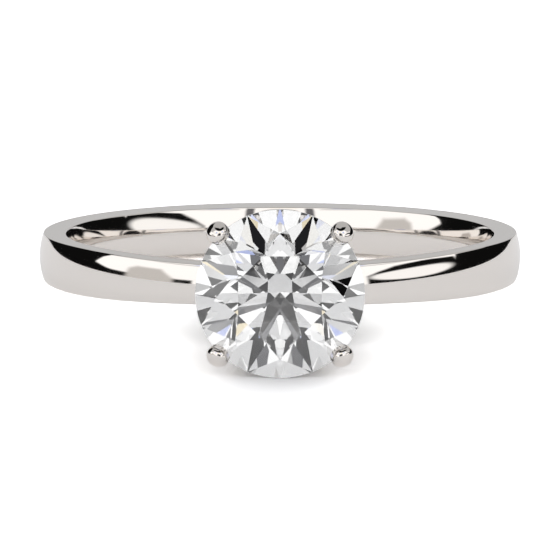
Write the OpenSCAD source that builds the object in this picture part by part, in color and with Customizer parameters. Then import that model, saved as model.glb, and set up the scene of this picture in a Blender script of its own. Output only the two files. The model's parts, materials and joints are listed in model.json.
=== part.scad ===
// Solitaire engagement ring: a tapered band, a low four-claw basket and a round brilliant stone.
// The finger hole's axis is +Z and its centre is the origin. The stone faces -Y.
// All sizes are in millimetres and all angles in degrees.

/* [Finger hole] */
// Inside diameter where the hole is narrowest, US size 6 1/2
finger_hole_d = 16.92; // [14:0.02:22]
// Width of the straight land in the middle of the hole
land_w = 0.5; // [0.3:0.05:1]
// Radius of the comfort curve from the land out to each rim
comfort_r = 2.6; // [2.2:0.1:6]

/* [Band] */
// Width of the band at its back and sides
band_w = 1.9; // [1.56:0.02:3]
// Width of the band at the head
shoulder_w = 1.46; // [1.1:0.02:1.54]
// Length over which the band narrows towards the head
taper_length = 5.5; // [3:0.1:9]
// Thickness of the band at its sides
band_t = 1.22; // [0.9:0.02:1.8]
// Thickness that the band's outline has at the head
shoulder_t = 1.04; // [0.8:0.02:1.5]
// Thickness of the band at its back
back_t = 2.06; // [1.2:0.02:2.6]
// Radius of the dome across the band's outside
dome_r = 2.8; // [1.55:0.05:4]

/* [Stone] */
// Diameter of the stone, 6.4 to 6.5 for a one-carat round brilliant
stone_d = 6.4; // [5:0.1:9]
// Table size as a share of the stone's diameter
table_share = 0.53; // [0.5:0.01:0.62]
// Slope of the kite facets
crown_angle = 34.5; // [30:0.5:38]
// Slope of the pavilion main facets
pavilion_angle = 40.9; // [39:0.1:43]
// Length of the star facets, as a share of the way from the table to the girdle
star_share = 0.5; // [0.4:0.01:0.6]
// Length of the lower half facets, as a share of the way from the girdle to the culet
lower_half_share = 0.78; // [0.7:0.01:0.85]
// Thickness of the girdle at its thick places
girdle_t = 0.2; // [0.15:0.01:0.35]
// Gap between the culet and the finger hole
culet_gap = 0.2; // [0.1:0.05:2]

/* [Collet] */
// Outside diameter of the collet that carries the claws
collet_d = 4.4; // [4:0.1:6]
// Diameter of the opening under the culet
culet_hole_d = 2.2; // [2:0.05:2.6]
// Height of the collet's top above the finger hole
collet_h = 0.8; // [0.7:0.02:1.4]
// How far the collet's underside stands back from the finger
collet_relief = 0.2; // [0.18:0.01:0.3]

/* [Claws and rail] */
// Diameter of the claw wire
claw_d = 0.8; // [0.6:0.02:1]
// Diameter of the rounded claw tips
tip_d = 0.86; // [0.72:0.02:1.2]
// How far the middle of each tip stands outside the stone's edge
tip_reach = 0.14; // [0:0.01:0.2]
// Height of the middle of each tip above the middle of the girdle
tip_rise = 0.25; // [0.1:0.01:0.4]
// Metal left on the collet's top outside each claw
foot_margin = 0.1; // [0.05:0.01:0.3]
// Diameter of the gallery rail's wire
rail_d = 0.5; // [0.4:0.02:0.6]
// Height of the middle of the rail above the collet
rail_rise = 0.75; // [0.5:0.01:1]
// Gap between the rail and the stone
rail_gap = 0.05; // [0.03:0.01:0.2]

/* [Hidden] */
$fn = 128;
far = 100; // longer than any piece, for cutting shapes
metal = [0.83, 0.82, 0.80];
diamond = [0.93, 0.96, 0.98];

// Band outline, seen along the finger hole: an ellipse with its middle set towards the back.
finger_r = finger_hole_d / 2;
band_front = finger_r + shoulder_t;
band_back = finger_r + back_t;
outline_a = finger_r + band_t;
outline_b = (band_front + band_back) / 2;
outline_y = (band_back - band_front) / 2;
taper_y = taper_length - band_front;
taper_drop = (band_w - shoulder_w) / 2;
taper_r = (pow(taper_length, 2) + pow(taper_drop, 2)) / (2 * taper_drop);

// Stone heights along its own axis, from the middle of the finger hole.
stone_r = stone_d / 2;
pavilion_h = stone_r * tan(pavilion_angle);
culet_z = finger_r + culet_gap;
girdle_z = culet_z + pavilion_h + girdle_t / 2;

// Facet meeting points, as radii, with heights above or below the edges of the girdle.
main_turn = 45; // from one main facet to the next
half_turn = main_turn / 2; // from a main facet to where two half facets meet
girdle_steps = 4; // flats on the girdle under each half facet
girdle_n = 2 * girdle_steps * 360 / main_turn;
table_r = stone_r * table_share;
crown_h = (stone_r - table_r) * tan(crown_angle);
star_r = table_r * cos(half_turn) * (1 - star_share) + stone_r * star_share;
star_h = (stone_r - star_r * cos(half_turn)) * tan(crown_angle);
lower_r = stone_r * (1 - lower_half_share);
lower_h = (stone_r - lower_r * cos(half_turn)) * tan(pavilion_angle);

// Claws and rail, in the same heights and in radii from the stone's axis.
collet_r = collet_d / 2;
collet_z = finger_r + collet_h;
foot_r = collet_r - claw_d / 2 - foot_margin;
tip_r = stone_r + tip_reach;
tip_z = girdle_z + tip_rise;
claw_lean = atan2(tip_r - foot_r, tip_z - collet_z);
claw_length = norm([tip_r - foot_r, tip_z - collet_z]);
rail_z = collet_z + rail_rise;
rail_r = (rail_z - culet_z) / tan(pavilion_angle) + (rail_d / 2 + rail_gap) / sin(pavilion_angle);

// Turns a shape built up along +Z so that it stands out along the stone's axis, -Y.
module on_stone_axis() {
    rotate([90, 0, 0]) children();
}

// Solid domed disc with the band's outline.
module band_blank() {
    translate([0, outline_y, 0])
        scale([1, outline_b / outline_a, 1])
            rotate_extrude() {
                translate([0, -dome_r]) square([outline_a - dome_r, 2 * dome_r]);
                translate([outline_a - dome_r, 0]) circle(r = dome_r);
            }
}

// The band's width seen from its side, X here being the ring's Y: parallel, then narrowing along an arc.
module side_profile() {
    translate([taper_y, -band_w / 2]) square([far, band_w]);
    intersection() {
        translate([taper_y, band_w / 2 - taper_r]) circle(r = taper_r, $fn = 1440);
        translate([taper_y, taper_r - band_w / 2]) circle(r = taper_r, $fn = 1440);
        translate([-band_front - dome_r, -band_w / 2]) square([band_front + dome_r + taper_y, band_w]);
    }
}

// What the finger takes away: a straight land that opens out along a curve to each rim.
module finger_void() {
    rotate_extrude()
        difference() {
            translate([0, -band_w]) square([finger_r + comfort_r, 2 * band_w]);
            translate([finger_r, -land_w / 2]) square([2 * comfort_r, land_w]);
            for (side = [-1, 1])
                translate([finger_r + comfort_r, side * land_w / 2]) circle(r = comfort_r);
        }
}

module shank() {
    color(metal)
        difference() {
            intersection() {
                band_blank();
                rotate([90, 0, 90]) linear_extrude(height = far, center = true) side_profile();
            }
            finger_void();
            on_stone_axis() cylinder(r = collet_r, h = far);
        }
}

module head_collet() {
    color(metal)
        difference() {
            on_stone_axis() translate([0, 0, finger_r / 2]) cylinder(r = collet_r, h = collet_z - finger_r / 2);
            on_stone_axis() cylinder(d = culet_hole_d, h = far);
            cylinder(r = finger_r + collet_relief, h = far, center = true);
        }
}

// The rail's wire, shared by the rail and by the notches that it sits in.
module rail_wire() {
    translate([0, 0, rail_z]) rotate_extrude() translate([rail_r, 0]) circle(d = rail_d);
}

module gallery_rail() {
    color(metal) on_stone_axis() rail_wire();
}

// One claw: a leaning wire from the collet's top to a round tip, notched for the rail and the stone.
module claw(number) {
    color(metal)
        on_stone_axis()
            difference() {
                rotate([0, 0, 90 * number - 45]) {
                    translate([foot_r, 0, collet_z])
                        rotate([0, claw_lean, 0])
                            translate([0, 0, -claw_d]) cylinder(d = claw_d, h = claw_length + claw_d);
                    translate([tip_r, 0, tip_z]) sphere(d = tip_d);
                }
                cylinder(r = far, h = collet_z);
                rail_wire();
                brilliant();
            }
}

function polar(r, angle, z) = [r * cos(angle), r * sin(angle), z];
// How far a half facet, which meets the girdle at its two ends, cuts into it in between.
function scallop(angle, slope) =
    let (away = (angle % half_turn) - half_turn / 2)
    stone_r * (cos(away) - cos(half_turn / 2)) * slope / cos(half_turn / 2);
function loop(start, n) = [for (i = [0 : n - 1]) start + i];

// Round brilliant cut about +Z. Angles count from a main facet, and the first one faces half_turn.
module brilliant() {
    mains = 360 / main_turn;
    upper_slope = star_h / (stone_r - star_r);
    lower_slope = lower_h / (stone_r - lower_r);
    top = girdle_z + girdle_t / 2;
    bottom = girdle_z - girdle_t / 2;
    main_angles = [for (i = [0 : mains - 1]) i * main_turn];
    girdle_angles = [for (i = [0 : girdle_n - 1]) i * 360 / girdle_n];
    points = concat(
        [for (a = main_angles) polar(table_r, a, top + crown_h)],
        [for (a = main_angles) polar(star_r, a + half_turn, top + star_h)],
        [for (a = girdle_angles) polar(stone_r, a, top - scallop(a, upper_slope))],
        [for (a = girdle_angles) polar(stone_r, a, bottom + scallop(a, lower_slope))],
        [for (a = main_angles) polar(lower_r, a + half_turn, bottom - lower_h)],
        [[0, 0, culet_z]]
    );
    // Where each ring of points starts in the list.
    star = mains;
    upper = 2 * mains;
    lower = upper + girdle_n;
    low = lower + girdle_n;
    culet = low + mains;
    per_main = 2 * girdle_steps;
    faces = concat(
        [[for (i = [mains - 1 : -1 : 0]) i]],
        [for (i = [0 : mains - 1]) [i, (i + 1) % mains, star + i]],
        [for (i = [0 : mains - 1]) [i, star + i, upper + i * per_main, star + (i + mains - 1) % mains]],
        [for (i = [0 : mains - 1]) concat(
            [star + i],
            [for (k = [girdle_steps : -1 : 0]) upper + i * per_main + k]
        )],
        [for (i = [0 : mains - 1]) concat(
            [star + i],
            [for (k = [per_main : -1 : girdle_steps]) upper + (i * per_main + k) % girdle_n]
        )],
        [for (i = [0 : girdle_n - 1])
            [upper + i, upper + (i + 1) % girdle_n, lower + (i + 1) % girdle_n, lower + i]],
        [for (i = [0 : mains - 1]) concat(
            [low + i],
            [for (k = [0 : girdle_steps]) lower + i * per_main + k]
        )],
        [for (i = [0 : mains - 1]) concat(
            [low + i],
            [for (k = [girdle_steps : per_main]) lower + (i * per_main + k) % girdle_n]
        )],
        [for (i = [0 : mains - 1]) [culet, low + (i + mains - 1) % mains, lower + i * per_main, low + i]]
    );
    rotate([0, 0, half_turn]) polyhedron(points = points, faces = faces);
}

module centre_stone() {
    color(diamond) on_stone_axis() brilliant();
}

shank();
head_collet();
gallery_rail();
claw(1);  // claw_1
claw(2);  // claw_2
claw(3);  // claw_3
claw(4);  // claw_4
centre_stone();
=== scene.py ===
"""Looks of the solitaire engagement ring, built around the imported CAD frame.

The finger hole's axis is +Z, its centre is the origin, and the stone faces -Y. Blender's unit is the metre.
"""
import json
import math

import bmesh
import bpy
from mathutils import Matrix, Vector


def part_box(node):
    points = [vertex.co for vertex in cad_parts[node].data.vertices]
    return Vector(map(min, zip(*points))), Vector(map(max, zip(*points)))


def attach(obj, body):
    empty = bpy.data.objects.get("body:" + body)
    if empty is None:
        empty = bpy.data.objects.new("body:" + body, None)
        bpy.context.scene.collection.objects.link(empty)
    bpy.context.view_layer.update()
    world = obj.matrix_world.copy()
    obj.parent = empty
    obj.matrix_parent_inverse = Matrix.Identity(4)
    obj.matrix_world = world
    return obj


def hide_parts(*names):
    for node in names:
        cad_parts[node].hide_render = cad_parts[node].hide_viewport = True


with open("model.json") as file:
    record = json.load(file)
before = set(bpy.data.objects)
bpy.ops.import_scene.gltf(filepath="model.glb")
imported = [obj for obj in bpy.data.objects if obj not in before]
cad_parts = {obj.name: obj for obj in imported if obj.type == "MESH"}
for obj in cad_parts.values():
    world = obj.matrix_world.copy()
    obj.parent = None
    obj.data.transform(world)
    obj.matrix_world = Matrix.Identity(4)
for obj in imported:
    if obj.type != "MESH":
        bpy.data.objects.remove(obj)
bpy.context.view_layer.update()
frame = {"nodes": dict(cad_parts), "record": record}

MM = 0.001

# Sizes that the frame gives.
FINGER_R = frame["record"]["mounts"][0]["dims"]["r_mm"] * MM
SHANK_LO, SHANK_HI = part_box("shank")
COLLET_LO, COLLET_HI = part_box("head_collet")
RAIL_LO, RAIL_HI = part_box("gallery_rail")
STONE_LO, STONE_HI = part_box("centre_stone")

# Band: its shape across and along, with the same construction as the CAD part.
COMFORT_R = 5 * MM
CREST_SLOPE = 0.06
CREST_W = 0.03 * MM
SHOULDER_T = 1.04 * MM
SHOULDER_W = 1.46 * MM
TAPER_LENGTH = 5.5 * MM
DOME_R = 2.8 * MM
EDGE_R = 0.04 * MM
BAND_STEPS = 480
FLAT_STEPS = 9
CORNER_STEPS = 6
BAND_W = SHANK_HI.z - SHANK_LO.z
OUTLINE_A = SHANK_HI.x
BAND_FRONT = FINGER_R + SHOULDER_T
BAND_BACK = SHANK_HI.y
OUTLINE_STRETCH = (BAND_FRONT + BAND_BACK) / 2 / OUTLINE_A
OUTLINE_Y = (BAND_BACK - BAND_FRONT) / 2
TAPER_Y = TAPER_LENGTH - BAND_FRONT
TAPER_DROP = (BAND_W - SHOULDER_W) / 2
TAPER_R = (TAPER_LENGTH ** 2 + TAPER_DROP ** 2) / (2 * TAPER_DROP)

# Head: heights run along the stone's axis from the middle of the finger hole, so a height is -Y.
COLLET_R = COLLET_HI.x
COLLET_Z = -COLLET_LO.y
CULET_HOLE_R = 1.1 * MM
COLLET_RELIEF = 0.2 * MM
COLLET_EDGE = 0.06 * MM
RAIL_WIRE_R = (RAIL_HI.y - RAIL_LO.y) / 2
RAIL_Z = -(RAIL_HI.y + RAIL_LO.y) / 2
RAIL_R = RAIL_HI.x - RAIL_WIRE_R
STONE_R = STONE_HI.x
CULET_Z = -STONE_HI.y
TABLE_SHARE = 0.53
STAR_SHARE = 0.5
LOWER_HALF_SHARE = 0.78
CROWN_ANGLE = math.radians(34.5)
PAVILION_ANGLE = math.radians(40.9)
CLAW_R = 0.4 * MM
TIP_BALL_R = 0.44 * MM
TIP_LEAN = 0.17 * MM
TIP_SWELL = 1.6  # how far down the claw it swells into its tip, in tip radii
TIP_REACH = 0.17 * MM
TIP_RISE = 0.25 * MM
SEAT_AIR = 0.012 * MM
FOOT_MARGIN = 0.1 * MM
FOOT_R = COLLET_R - CLAW_R - FOOT_MARGIN
GIRDLE_T = 0.2 * MM
GIRDLE_Z = CULET_Z + STONE_R * math.tan(PAVILION_ANGLE) + GIRDLE_T / 2
TIP_R = STONE_R + TIP_REACH
TIP_Z = GIRDLE_Z + TIP_RISE
CLAW_NODES = ("claw_1", "claw_2", "claw_3", "claw_4")


# ---------------------------------------------------------------- meshes

def on_stone_axis(point):
    """Turns a point built up along +Z so that it stands out along the stone's axis, -Y."""
    x, y, z = point
    return Vector((x, -z, y))


def polar(radius, angle, height):
    """A point at a radius and an angle round +Z."""
    return Vector((radius * math.cos(angle), radius * math.sin(angle), height))


def make_object(name, bm, sharp_angle):
    """Turns a bmesh into an object, smooth but for edges sharper than sharp_angle."""
    bmesh.ops.recalc_face_normals(bm, faces=bm.faces)
    mesh = bpy.data.meshes.new(name)
    bm.to_mesh(mesh)
    bm.free()
    mesh.shade_smooth()
    mesh.set_sharp_from_angle(angle=sharp_angle)
    made = bpy.data.objects.new(name, mesh)
    bpy.context.scene.collection.objects.link(made)
    return made


def loft(rows, closed):
    """A closed skin over rows of points. Each row is a loop, and the rows close up or end in a cap."""
    bm = bmesh.new()
    grid = [[bm.verts.new(point) for point in row] for row in rows]
    count = len(grid[0])
    last = len(grid) if closed else len(grid) - 1
    for i in range(last):
        here = grid[i]
        there = grid[(i + 1) % len(grid)]
        for j in range(count):
            k = (j + 1) % count
            bm.faces.new((here[j], here[k], there[k], there[j]))
    if not closed:
        bm.faces.new(grid[0])
        bm.faces.new(grid[-1])
    bmesh.ops.remove_doubles(bm, verts=bm.verts, dist=1e-8)
    return bm


def round_corner(before, corner, after, steps):
    """Points along the rounded corner between two edges, from before to after."""
    points = []
    for i in range(steps + 1):
        t = i / steps
        points.append(before * (1 - t) ** 2 + corner * 2 * t * (1 - t) + after * t ** 2)
    return points


# ---------------------------------------------------------------- band

def half_width(y):
    """Half the band's width at the place y: parallel, then narrowing along an arc to the head."""
    if y > TAPER_Y:
        return BAND_W / 2
    return BAND_W / 2 - TAPER_R + math.sqrt(TAPER_R ** 2 - (y - TAPER_Y) ** 2)


def outer_radius(angle, z):
    """How far the band's outside is from the finger hole's axis."""
    dome = OUTLINE_A - DOME_R + math.sqrt(DOME_R ** 2 - z ** 2)
    c, s = math.cos(angle), math.sin(angle) / OUTLINE_STRETCH
    middle = OUTLINE_Y / OUTLINE_STRETCH
    a = c * c + s * s
    b = s * middle
    return (b + math.sqrt(b * b - a * (middle * middle - dome * dome))) / a


def inner_radius(z):
    """How far the finger's side of the band is from the hole's axis: two curved flanks and a soft crest."""
    crest = CREST_SLOPE * (math.hypot(z, CREST_W) - CREST_W)
    return FINGER_R + crest + z * z / (2 * COMFORT_R)


def half_section(angle):
    """The band's section for z from 0 up over the rim and back to 0, as (distance from the axis, z)."""
    inner_h = half_width(-FINGER_R * abs(math.sin(angle))) if math.sin(angle) < 0 else BAND_W / 2
    outer_h = half_width(outer_radius(angle, inner_h) * math.sin(angle))
    points = []
    for i in range(FLAT_STEPS):
        z = (inner_h - EDGE_R) * i / FLAT_STEPS
        points.append(Vector((inner_radius(z), z)))
    inner_rim = inner_radius(inner_h)
    outer_rim = outer_radius(angle, outer_h)
    points += round_corner(
        Vector((inner_radius(inner_h - EDGE_R), inner_h - EDGE_R)),
        Vector((inner_rim, inner_h)),
        Vector((inner_rim + EDGE_R, inner_h)),
        CORNER_STEPS,
    )
    side_lo = inner_rim + EDGE_R
    side_hi = outer_rim - EDGE_R
    support = EDGE_R / 3
    for distance in (side_lo + support, (side_lo + side_hi) / 2, side_hi - support):
        points.append(Vector((distance, half_width(distance * math.sin(angle)))))
    points += round_corner(
        Vector((outer_rim - EDGE_R, outer_h)),
        Vector((outer_rim, outer_h)),
        Vector((outer_radius(angle, outer_h - EDGE_R), outer_h - EDGE_R)),
        CORNER_STEPS,
    )
    for i in range(FLAT_STEPS - 1, -1, -1):
        z = (outer_h - EDGE_R) * i / FLAT_STEPS
        points.append(Vector((outer_radius(angle, z), z)))
    return points


def section(angle):
    """The band's whole section at an angle round the finger hole."""
    half = half_section(angle)
    mirrored = [Vector((p.x, -p.y)) for p in half[-2:0:-1]]
    return half + mirrored


def end_angle(strand):
    """The angle at which one strand of the section meets the collet."""
    angle = -math.pi / 2 + math.asin(COLLET_R / BAND_FRONT)
    for _ in range(6):
        distance, z = section(angle)[strand]
        angle = -math.pi / 2 + math.asin(math.sqrt(COLLET_R ** 2 - z * z) / distance)
    return angle


def build_shank():
    """The band, one bent bar with rounded edges, open where the collet stands."""
    count = len(section(0))
    starts = [end_angle(strand) for strand in range(count)]
    rows = []
    for i in range(BAND_STEPS + 1):
        row = []
        for strand, start in enumerate(starts):
            sweep = 2 * math.pi - 2 * (start + math.pi / 2)
            angle = start + sweep * i / BAND_STEPS
            distance, z = section(angle)[strand]
            row.append(polar(distance, angle, z))
        rows.append(row)
    bm = loft(rows, closed=False)
    return make_object("band", bm, math.radians(35))


# ---------------------------------------------------------------- head

def build_collet():
    """The short tube that closes the gap in the band: hollow, with a curved underside and soft edges."""
    steps = 160
    edge_steps = 5
    under_r = FINGER_R + COLLET_RELIEF
    rows = []
    for i in range(steps):
        angle = 2 * math.pi * i / steps

        def underside(radius):
            across = radius * math.cos(angle)
            return math.sqrt(under_r ** 2 - across ** 2)

        outer_foot = Vector((COLLET_R, underside(COLLET_R)))
        inner_foot = Vector((CULET_HOLE_R, underside(CULET_HOLE_R)))
        top_out = Vector((COLLET_R, COLLET_Z))
        top_in = Vector((CULET_HOLE_R, COLLET_Z))
        down = Vector((0, -COLLET_EDGE))
        inward = Vector((-COLLET_EDGE, 0))
        profile = [outer_foot, outer_foot.lerp(top_out + down, 0.5)]
        profile += round_corner(top_out + down, top_out, top_out + inward, edge_steps)
        profile += [(top_out + top_in) / 2]
        profile += round_corner(top_in - inward, top_in, top_in + down, edge_steps)
        profile += [(top_in + down).lerp(inner_foot, 0.5), inner_foot]
        middle = (COLLET_R + CULET_HOLE_R) / 2
        profile += [Vector((middle, underside(middle)))]
        rows.append([on_stone_axis(polar(p.x, angle, p.y)) for p in profile])
    return make_object("collet", loft(rows, closed=True), math.radians(35))


def build_rail():
    """The gallery rail: a round wire bent into a ring under the stone."""
    steps = 128
    wire_steps = 32
    rows = []
    for i in range(steps):
        angle = 2 * math.pi * i / steps
        row = []
        for j in range(wire_steps):
            turn = 2 * math.pi * j / wire_steps
            reach = RAIL_R + RAIL_WIRE_R * math.cos(turn)
            row.append(on_stone_axis(polar(reach, angle, RAIL_Z + RAIL_WIRE_R * math.sin(turn))))
        rows.append(row)
    return make_object("rail_wire", loft(rows, closed=True), math.radians(60))


def claw_radius(along, length):
    """The claw's radius at a distance along its wire: straight, swelling into the round tip."""
    ball = TIP_BALL_R ** 2 - (along - length) ** 2
    if along > length:
        return math.sqrt(max(ball, 0))
    swell = max(0, 1 - (length - along) / (TIP_SWELL * TIP_BALL_R))
    return CLAW_R + (TIP_BALL_R - CLAW_R) * swell * swell * (3 - 2 * swell)


def tip_lean(along, length):
    """How far the round tip bends in over the stone, at a distance along the claw."""
    share = max(0, (along - length + TIP_BALL_R) / (2 * TIP_BALL_R))
    return TIP_LEAN * share * share


def claw_blank(name, turn):
    """One claw before its notches are cut: a wire from the collet's top to its round tip."""
    foot = Vector((FOOT_R, 0, COLLET_Z))
    tip = Vector((TIP_R, 0, TIP_Z))
    length = (tip - foot).length
    along_axis = (tip - foot).normalized()
    side_axis = Vector((0, 1, 0))
    third_axis = along_axis.cross(side_axis)
    stem_steps = 20
    ball_steps = 20
    around = 48
    stations = [length * i / stem_steps for i in range(stem_steps)]
    stations[0] = -CLAW_R
    for i in range(ball_steps + 1):
        stations.append(length + TIP_BALL_R * math.sin(math.pi / 2 * i / ball_steps))
    rows = []
    for along in stations:
        radius = claw_radius(along, length)
        centre = foot + along_axis * along - Vector((tip_lean(along, length), 0, 0))
        row = []
        for j in range(around):
            a = 2 * math.pi * j / around
            spoke = side_axis * math.cos(a) + third_axis * math.sin(a)
            point = centre + spoke * radius
            row.append(on_stone_axis(Matrix.Rotation(turn, 3, "Z") @ point))
        rows.append(row)
    bm = bmesh.new()
    grid = [[bm.verts.new(point) for point in row] for row in rows[:-1]]
    pole = bm.verts.new(rows[-1][0])
    for here, there in zip(grid, grid[1:]):
        for j in range(around):
            k = (j + 1) % around
            bm.faces.new((here[j], here[k], there[k], there[j]))
    for j in range(around):
        bm.faces.new((grid[-1][j], grid[-1][(j + 1) % around], pole))
    bm.faces.new(grid[0])
    return make_object(name, bm, math.radians(60))


def collet_cutter():
    """A block that ends at the collet's top, to trim the claws' feet."""
    bm = bmesh.new()
    bmesh.ops.create_cube(bm, size=2 * COLLET_R)
    cutter = make_object("cutter", bm, math.radians(30))
    cutter.location = on_stone_axis((0, 0, COLLET_Z - COLLET_R))
    return cutter


def seat_cutter(stone):
    """The stone's shape with a hair of air round it, as between any stone and its claws."""
    middle = on_stone_axis((0, 0, GIRDLE_Z))
    grown = 1 + SEAT_AIR / STONE_R
    seat = stone.copy()
    seat.data = stone.data.copy()
    seat.data.transform(Matrix.Translation(middle) @ Matrix.Scale(grown, 4) @ Matrix.Translation(-middle))
    bpy.context.scene.collection.objects.link(seat)
    return seat


def cut(piece, cutters):
    """Takes the cutters' shapes out of a piece for good."""
    for cutter in cutters:
        modifier = piece.modifiers.new("cut", "BOOLEAN")
        modifier.operation = "DIFFERENCE"
        modifier.solver = "EXACT"
        modifier.object = cutter
    bpy.context.view_layer.update()
    evaluated = piece.evaluated_get(bpy.context.evaluated_depsgraph_get())
    finished = bpy.data.meshes.new_from_object(evaluated)
    piece.modifiers.clear()
    piece.data = finished
    finished.shade_smooth()
    finished.set_sharp_from_angle(angle=math.radians(32))


def build_claws(rail, stone):
    """The four claws, notched for the rail and the stone's edge."""
    cutter = collet_cutter()
    seat = seat_cutter(stone)
    claws = []
    for number, node in enumerate(CLAW_NODES, start=1):
        claw = claw_blank("prong_" + str(number), math.radians(90 * number - 45))
        cut(claw, (cutter, rail, seat))
        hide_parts(node)
        claws.append(claw)
    bpy.data.objects.remove(cutter)
    bpy.data.objects.remove(seat)
    return claws


# ---------------------------------------------------------------- stone

def scallop(angle, slope):
    """How far a half facet cuts into the girdle between its two ends."""
    half_turn = math.pi / 8
    away = (angle % half_turn) - half_turn / 2
    return STONE_R * (math.cos(away) - math.cos(half_turn / 2)) * slope / math.cos(half_turn / 2)


def build_stone():
    """A round brilliant with 57 facets and a finely faceted girdle, which is the second material."""
    mains = 8
    per_main = 8
    girdle_n = mains * per_main
    main_turn = 2 * math.pi / mains
    half_turn = main_turn / 2
    top = GIRDLE_Z + GIRDLE_T / 2
    bottom = GIRDLE_Z - GIRDLE_T / 2
    table_r = STONE_R * TABLE_SHARE
    star_r = table_r * math.cos(half_turn) * (1 - STAR_SHARE) + STONE_R * STAR_SHARE
    star_h = (STONE_R - star_r * math.cos(half_turn)) * math.tan(CROWN_ANGLE)
    crown_h = (STONE_R - table_r) * math.tan(CROWN_ANGLE)
    lower_r = STONE_R * (1 - LOWER_HALF_SHARE)
    lower_h = (STONE_R - lower_r * math.cos(half_turn)) * math.tan(PAVILION_ANGLE)
    upper_slope = star_h / (STONE_R - star_r)
    lower_slope = lower_h / (STONE_R - lower_r)
    bm = bmesh.new()

    def vertex(radius, angle, height):
        return bm.verts.new(on_stone_axis(polar(radius, angle + half_turn, height)))

    mains_at = [main_turn * i for i in range(mains)]
    girdle_at = [2 * math.pi * i / girdle_n for i in range(girdle_n)]
    table = [vertex(table_r, a, top + crown_h) for a in mains_at]
    star = [vertex(star_r, a + half_turn, top + star_h) for a in mains_at]
    upper = [vertex(STONE_R, a, top - scallop(a, upper_slope)) for a in girdle_at]
    lower = [vertex(STONE_R, a, bottom + scallop(a, lower_slope)) for a in girdle_at]
    low = [vertex(lower_r, a + half_turn, bottom - lower_h) for a in mains_at]
    culet = vertex(0, 0, CULET_Z)
    bm.faces.new(table)
    for i in range(mains):
        after = (i + 1) % mains
        first = i * per_main
        middle = first + per_main // 2
        last = first + per_main
        bm.faces.new((table[i], table[after], star[i]))
        bm.faces.new((table[i], star[i], upper[first], star[i - 1]))
        bm.faces.new([star[i]] + [upper[k] for k in range(middle, first - 1, -1)])
        bm.faces.new([star[i]] + [upper[k % girdle_n] for k in range(last, middle - 1, -1)])
        bm.faces.new([low[i]] + [lower[k] for k in range(first, middle + 1)])
        bm.faces.new([low[i]] + [lower[k % girdle_n] for k in range(middle, last + 1)])
        bm.faces.new((culet, low[i - 1], lower[first], low[i]))
    for i in range(girdle_n):
        k = (i + 1) % girdle_n
        face = bm.faces.new((upper[i], upper[k], lower[k], lower[i]))
        face.material_index = 1
    stone = make_object("brilliant", bm, math.radians(0.5))
    stone.data.shade_flat()
    return stone


# ---------------------------------------------------------------- materials

def new_material(name):
    """A material with an empty node tree."""
    material = bpy.data.materials.new(name)
    material.use_nodes = True
    material.node_tree.nodes.clear()
    return material, material.node_tree


def add_node(tree, kind, **settings):
    """Adds a node and sets its properties."""
    node = tree.nodes.new(kind)
    for key, value in settings.items():
        setattr(node, key, value)
    return node


def noise(tree, coordinates, scale, detail):
    """A noise texture's value, its scale in cells per metre."""
    node = add_node(tree, "ShaderNodeTexNoise")
    node.inputs["Scale"].default_value = scale
    node.inputs["Detail"].default_value = detail
    tree.links.new(coordinates, node.inputs["Vector"])
    return node.outputs["Fac"]


def remap(tree, value, low, high):
    """Maps a texture's middle range on to low..high."""
    node = add_node(tree, "ShaderNodeMapRange")
    node.inputs["From Min"].default_value = 0.3
    node.inputs["From Max"].default_value = 0.7
    node.inputs["To Min"].default_value = low
    node.inputs["To Max"].default_value = high
    tree.links.new(value, node.inputs["Value"])
    return node.outputs["Result"]


def white_gold():
    """Mirror-polished white gold: faint buffing haze, hairline marks and a slightly uneven polish."""
    material, tree = new_material("white_gold_polished")
    output = add_node(tree, "ShaderNodeOutputMaterial")
    shader = add_node(tree, "ShaderNodeBsdfPrincipled")
    shader.inputs["Base Color"].default_value = (0.80, 0.762, 0.727, 1)
    shader.inputs["Metallic"].default_value = 1
    place = add_node(tree, "ShaderNodeTexCoord")
    haze = noise(tree, place.outputs["Object"], 900, 3)
    tree.links.new(remap(tree, haze, 0.035, 0.07), shader.inputs["Roughness"])
    stretch = add_node(tree, "ShaderNodeMapping")
    stretch.inputs["Scale"].default_value = (1, 1, 12)
    tree.links.new(place.outputs["Object"], stretch.inputs["Vector"])
    hairlines = noise(tree, stretch.outputs["Vector"], 1500, 4)
    bump = add_node(tree, "ShaderNodeBump")
    bump.inputs["Strength"].default_value = 0.2
    bump.inputs["Distance"].default_value = 0.0004 * MM
    tree.links.new(hairlines, bump.inputs["Height"])
    tree.links.new(bump.outputs["Normal"], shader.inputs["Normal"])
    tree.links.new(shader.outputs["BSDF"], output.inputs["Surface"])
    return material


def diamond():
    """Clear diamond, with the refractive index of the real stone."""
    material, tree = new_material("diamond_clear")
    output = add_node(tree, "ShaderNodeOutputMaterial")
    shader = add_node(tree, "ShaderNodeBsdfPrincipled")
    shader.inputs["Base Color"].default_value = (1, 1, 1, 1)
    shader.inputs["Roughness"].default_value = 0
    shader.inputs["IOR"].default_value = 2.42
    shader.inputs["Transmission Weight"].default_value = 1
    tree.links.new(shader.outputs["BSDF"], output.inputs["Surface"])
    return material


def bruted_girdle():
    """The girdle's fine ground finish: the same diamond, but frosted, with grain from its grinding."""
    material, tree = new_material("diamond_girdle")
    output = add_node(tree, "ShaderNodeOutputMaterial")
    shader = add_node(tree, "ShaderNodeBsdfPrincipled")
    shader.inputs["Base Color"].default_value = (1, 1, 1, 1)
    shader.inputs["IOR"].default_value = 2.42
    shader.inputs["Transmission Weight"].default_value = 1
    place = add_node(tree, "ShaderNodeTexCoord")
    grain = noise(tree, place.outputs["Object"], 6000, 2)
    tree.links.new(remap(tree, grain, 0.15, 0.35), shader.inputs["Roughness"])
    tree.links.new(shader.outputs["BSDF"], output.inputs["Surface"])
    return material


# ---------------------------------------------------------------- studio

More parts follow.
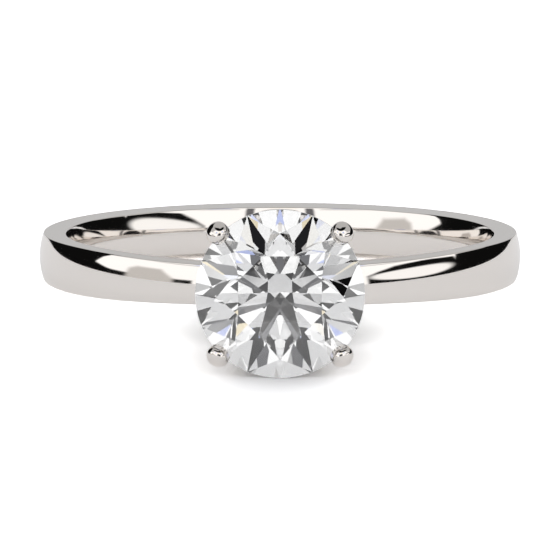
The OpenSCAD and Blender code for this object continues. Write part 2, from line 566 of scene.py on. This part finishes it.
def lean_of_floor():
    """The floor's lean in the ring's own frame and its height: it touches the stone and the band's back."""
    stone_points = [v.co for v in frame["nodes"]["centre_stone"].data.vertices]
    band_points = [v.co for v in frame["nodes"]["shank"].data.vertices if v.co.y > 0]
    low, high = 0, math.radians(20)
    for _ in range(30):
        lean = (low + high) / 2
        up = Vector((0, -math.sin(lean), math.cos(lean)))
        stone_height = min(point.dot(up) for point in stone_points)
        band_height = min(point.dot(up) for point in band_points)
        if band_height > stone_height:
            low = lean
        else:
            high = lean
    return lean, stone_height


TABLE_R = 75 * MM
TABLE_MIRRORED = 1.5  # how white the table is where the metal or the stone mirrors it
TABLE_SEEN = 2.8  # the same for the camera, more than real so that it clips to white
SHADOW_MIDDLE = 7 * MM  # how far the soft shadow's middle is behind the place where the stone stands
SHADOW_HALF = (5.6 * MM, 15 * MM)  # half its width and half its length, away from the viewer
SHADOW_DEPTH = 0.85  # how much of the table's white it takes away in its middle


def contact_shadow(tree, foot):
    """How white the table is to the camera: less in a soft patch where the stone stands."""
    place = add_node(tree, "ShaderNodeTexCoord")
    offset = add_node(tree, "ShaderNodeVectorMath", operation="MULTIPLY_ADD")
    offset.inputs[1].default_value = (1 / SHADOW_HALF[0], 1 / SHADOW_HALF[1], 0)
    offset.inputs[2].default_value = (0, -(foot + SHADOW_MIDDLE) / SHADOW_HALF[1], 0)
    distance = add_node(tree, "ShaderNodeVectorMath", operation="LENGTH")
    shade = add_node(tree, "ShaderNodeMapRange", interpolation_type="SMOOTHSTEP")
    shade.inputs["To Min"].default_value = TABLE_SEEN * (1 - SHADOW_DEPTH)
    shade.inputs["To Max"].default_value = TABLE_SEEN
    tree.links.new(place.outputs["Object"], offset.inputs[0])
    tree.links.new(offset.outputs["Vector"], distance.inputs[0])
    tree.links.new(distance.outputs["Value"], shade.inputs["Value"])
    return shade.outputs["Result"]


def build_table(lean, height):
    """A round white table top under the ring, whiter to the camera than to what mirrors it."""
    up = Vector((0, -math.sin(lean), math.cos(lean)))
    along = Vector((0, math.cos(lean), math.sin(lean)))
    foot = min((v.co for v in frame["nodes"]["centre_stone"].data.vertices), key=up.dot).dot(along)
    bm = bmesh.new()
    bmesh.ops.create_circle(bm, cap_ends=True, segments=128, radius=TABLE_R)
    table = make_object("table_top", bm, math.radians(30))
    table.rotation_euler = (lean, 0, 0)
    table.location = up * height
    material, tree = new_material("white_table")
    output = add_node(tree, "ShaderNodeOutputMaterial")
    ray = add_node(tree, "ShaderNodeLightPath")
    shade = add_node(tree, "ShaderNodeMapRange")
    shade.inputs["To Min"].default_value = TABLE_MIRRORED
    lit = add_node(tree, "ShaderNodeBsdfDiffuse")
    tree.links.new(contact_shadow(tree, foot), shade.inputs["To Max"])
    tree.links.new(ray.outputs["Is Camera Ray"], shade.inputs["Value"])
    tree.links.new(shade.outputs["Result"], lit.inputs["Color"])
    tree.links.new(lit.outputs["BSDF"], output.inputs["Surface"])
    table.data.materials.append(material)


# The studio's light, as (red, green, blue) radiance.
WALLS = (0.57, 0.57, 0.57)
WHITE = (1.3, 1.3, 1.3)
OVAL_WHITE = (1.2, 1.2, 1.2)
CARD = (0.68, 0.66, 0.64)
BLACK = (0.005, 0.005, 0.005)
GREY = (0.16, 0.16, 0.17)
DARK = (0.02, 0.02, 0.022)
BLUE = (0.62, 0.7, 1.1)
WARM = (1.1, 0.98, 0.72)

# Panels round the ring, painted in this order: the corners of each one's convex outline, its light and
# the softness of its edge. A corner is a direction: degrees round from the viewer towards +X, and
# degrees over the table's horizon.
BELOW = -6
LEFT_SOFTBOX = ((-132, BELOW), (-132, 11), (-120, 15), (-100, 22), (-80, 26), (-22, 26), (-22, BELOW))
RIGHT_SOFTBOX = ((132, BELOW), (132, 11), (120, 15), (100, 22), (80, 26), (22, 26), (22, BELOW))
FRONT_SOFTBOX = ((-24, BELOW), (-24, 39), (24, 39), (24, BELOW))
LEFT_GEL = ((-46, 29), (-46, 40), (-32, 40), (-32, 29))
RIGHT_GEL = ((30, 29), (30, 42), (46, 42), (46, 29))
WARM_GEL = ((-10, 31), (-10, 40), (6, 40), (6, 31))
UPPER_SOFTBOX = ((-78, 28), (-60, 49), (60, 49), (78, 28))
OVERHEAD_FLAG = ((-105, 52), (-60, 72), (80, 72), (110, 50), (0, 50))
LEFT_STAND = ((-20, BELOW), (-20, 30), (-15, 30), (-14, BELOW))
RIGHT_STAND = ((15, BELOW), (15, 30), (20, 30), (20, BELOW))
LEFT_FLAG = ((-155, BELOW), (-155, 40), (-112, 44), (-96, 19), (-106, BELOW))
LEFT_FLAG_FOOT = ((-107, BELOW), (-107, 8), (-90, 2.5), (-90, BELOW))
LEFT_FLAG_RAIL = ((-100, BELOW), (-100, 2.7), (-43, 2.7), (-43, BELOW))
GREY_CARD = ((-80, BELOW), (-79, 9), (-75, 13), (-61, 14), (-53, 3), (-53, BELOW))
RIGHT_FLAG = ((155, BELOW), (155, 40), (114, 44), (100, 18), (90, 16.5), (90, BELOW))
RIGHT_HOOD = ((97, BELOW), (97, 16), (84, 21), (78, 22), (60, 19.5), (50, 14.5), (43, 9), (43, BELOW))
PANELS = (
    ("left softbox", LEFT_SOFTBOX, WHITE, 3),
    ("right softbox", RIGHT_SOFTBOX, WHITE, 3),
    ("front softbox", FRONT_SOFTBOX, WHITE, 3),
    ("upper softbox", UPPER_SOFTBOX, WHITE, 3),
    ("overhead flag", OVERHEAD_FLAG, BLACK, 3),
    ("left blue gel", LEFT_GEL, BLUE, 3),
    ("right blue gel", RIGHT_GEL, BLUE, 3),
    ("warm gel", WARM_GEL, WARM, 3),
    ("left stand", LEFT_STAND, GREY, 2),
    ("right stand", RIGHT_STAND, GREY, 2),
    ("left flag", LEFT_FLAG, BLACK, 1.5),
    ("left flag's foot", LEFT_FLAG_FOOT, BLACK, 2),
    ("left flag's rail", LEFT_FLAG_RAIL, BLACK, 2),
    ("grey card", GREY_CARD, CARD, 4),
    ("right flag", RIGHT_FLAG, BLACK, 1.5),
    ("right hood", RIGHT_HOOD, BLACK, 2.5),
)
# Ovals, painted after the panels: the middle and half the size, as directions, the light and the edge.
OVALS = (
    ("oval softbox", (68.5, 6.7), (24, 6.7), OVAL_WHITE, 2),
    ("camera", (0, 13), (14, 15), DARK, 3),
)


def calculate(tree, operation, *values):
    """A maths node on values that are numbers or sockets."""
    node = add_node(tree, "ShaderNodeMath", operation=operation)
    for socket, value in zip(node.inputs, values):
        if isinstance(value, (int, float)):
            socket.default_value = value
        else:
            tree.links.new(value, socket)
    return node.outputs["Value"]


def fade(tree, distance, softness):
    """0 outside and 1 inside, from a distance inwards past an edge."""
    node = add_node(tree, "ShaderNodeMapRange", interpolation_type="SMOOTHSTEP")
    node.inputs["From Min"].default_value = -softness / 2
    node.inputs["From Max"].default_value = softness / 2
    tree.links.new(distance, node.inputs["Value"])
    return node.outputs["Result"]


def outline_mask(tree, direction, corners, softness):
    """1 inside a convex outline of corners, in degrees, and 0 outside it."""
    middle = sum((Vector(corner) for corner in corners), Vector((0, 0))) / len(corners)
    mask = None
    for here, there in zip(corners, corners[1:] + corners[:1]):
        start, end = Vector(here), Vector(there)
        inward = Vector((start.y - end.y, end.x - start.x)).normalized()
        if inward.dot(middle - start) < 0:
            inward = -inward
        node = add_node(tree, "ShaderNodeVectorMath", operation="DOT_PRODUCT")
        tree.links.new(direction, node.inputs[0])
        node.inputs[1].default_value = (inward.x, inward.y, -inward.dot(start))
        edge = fade(tree, node.outputs["Value"], softness)
        mask = edge if mask is None else calculate(tree, "MINIMUM", mask, edge)
    return mask


def oval_mask(tree, direction, middle, half, softness):
    """1 inside an oval, and 0 outside it."""
    node = add_node(tree, "ShaderNodeVectorMath", operation="MULTIPLY_ADD")
    tree.links.new(direction, node.inputs[0])
    node.inputs[1].default_value = (1 / half[0], 1 / half[1], 0)
    node.inputs[2].default_value = (-middle[0] / half[0], -middle[1] / half[1], 0)
    length = add_node(tree, "ShaderNodeVectorMath", operation="LENGTH")
    tree.links.new(node.outputs["Vector"], length.inputs[0])
    inwards = calculate(tree, "SUBTRACT", 1, length.outputs["Value"])
    return fade(tree, calculate(tree, "MULTIPLY", inwards, half[1]), softness)


def paint(tree, under, mask, colour):
    """Lays a colour over the light so far, where the mask is 1."""
    mix = add_node(tree, "ShaderNodeMix", data_type="RGBA")
    tree.links.new(mask, mix.inputs["Factor"])
    if isinstance(under, tuple):
        mix.inputs["A"].default_value = (*under, 1)
    else:
        tree.links.new(under, mix.inputs["A"])
    mix.inputs["B"].default_value = (*colour, 1)
    return mix.outputs["Result"]


def studio_direction(tree, lean):
    """The direction of a ray as (degrees round from the viewer, degrees over the table, 1)."""
    place = add_node(tree, "ShaderNodeTexCoord")
    turn = add_node(tree, "ShaderNodeVectorRotate", rotation_type="X_AXIS")
    turn.inputs["Angle"].default_value = -lean
    tree.links.new(place.outputs["Generated"], turn.inputs["Vector"])
    split = add_node(tree, "ShaderNodeSeparateXYZ")
    tree.links.new(turn.outputs["Vector"], split.inputs["Vector"])
    towards_viewer = calculate(tree, "MULTIPLY", split.outputs["Y"], -1)
    round_angle = calculate(tree, "ARCTAN2", split.outputs["X"], towards_viewer)
    up_angle = calculate(tree, "ARCSINE", split.outputs["Z"])
    direction = add_node(tree, "ShaderNodeCombineXYZ")
    tree.links.new(calculate(tree, "MULTIPLY", round_angle, math.degrees(1)), direction.inputs["X"])
    tree.links.new(calculate(tree, "MULTIPLY", up_angle, math.degrees(1)), direction.inputs["Y"])
    direction.inputs["Z"].default_value = 1
    return direction.outputs["Vector"]


def build_studio(lean):
    """The light round the ring: pale walls with dark flags and white softboxes, as a world."""
    world = bpy.data.worlds.new("studio")
    world.use_nodes = True
    tree = world.node_tree
    tree.nodes.clear()
    output = add_node(tree, "ShaderNodeOutputWorld")
    direction = studio_direction(tree, lean)
    light = WALLS
    for name, corners, colour, softness in PANELS:
        mask = outline_mask(tree, direction, corners, softness)
        mask.node.label = name
        light = paint(tree, light, mask, colour)
    for name, middle, half, colour, softness in OVALS:
        mask = oval_mask(tree, direction, middle, half, softness)
        mask.node.label = name
        light = paint(tree, light, mask, colour)
    background = add_node(tree, "ShaderNodeBackground")
    tree.links.new(light, background.inputs["Color"])
    seen = add_node(tree, "ShaderNodeBackground")
    seen.inputs["Color"].default_value = (1, 1, 1, 1)
    ray = add_node(tree, "ShaderNodeLightPath")
    choose = add_node(tree, "ShaderNodeMixShader")
    tree.links.new(ray.outputs["Is Camera Ray"], choose.inputs[0])
    tree.links.new(background.outputs["Background"], choose.inputs[1])
    tree.links.new(seen.outputs["Background"], choose.inputs[2])
    tree.links.new(choose.outputs["Shader"], output.inputs["Surface"])
    bpy.context.scene.world = world


# The photo's viewpoint: how high over the ring's plane, how far off, and how far below the ring's
# middle it aims.
VIEW_ELEVATION = math.radians(7.24)
VIEW_DISTANCE = 180 * MM
AIM_DOWN = 0.993 * MM
LENS = 287.7


def build_camera():
    """The camera at the photo's viewpoint, aimed with the ring's axis upright in the picture."""
    camera = bpy.data.cameras.new("camera")
    camera.lens = LENS
    camera.sensor_width = 36
    camera.clip_start = 0.01
    camera.clip_end = 10
    made = bpy.data.objects.new("camera", camera)
    bpy.context.scene.collection.objects.link(made)
    made.location = Vector((0, -math.cos(VIEW_ELEVATION), math.sin(VIEW_ELEVATION))) * VIEW_DISTANCE
    target = Vector((0, math.sin(VIEW_ELEVATION), math.cos(VIEW_ELEVATION))) * -AIM_DOWN
    made.rotation_mode = "QUATERNION"
    made.rotation_quaternion = (target - made.location).to_track_quat("-Z", "Y")
    bpy.context.scene.camera = made


def finish_piece(piece, materials):
    """Gives a piece its materials and the body it moves with."""
    for material in materials:
        piece.data.materials.append(material)
    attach(piece, "root")


def main():
    """Builds the ring's pieces, and then the table, the light and the camera."""
    metal = white_gold()
    clear = diamond()
    girdle = bruted_girdle()
    band = build_shank()
    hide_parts("shank")
    collet = build_collet()
    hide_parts("head_collet")
    rail = build_rail()
    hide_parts("gallery_rail")
    stone = build_stone()
    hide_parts("centre_stone")
    claws = build_claws(rail, stone)
    for piece in (band, collet, rail, *claws):
        finish_piece(piece, (metal,))
    finish_piece(stone, (clear, girdle))
    lean, height = lean_of_floor()
    build_table(lean, height)
    build_studio(lean)
    build_camera()
    scene = bpy.context.scene
    scene.view_settings.view_transform = "Standard"


main()
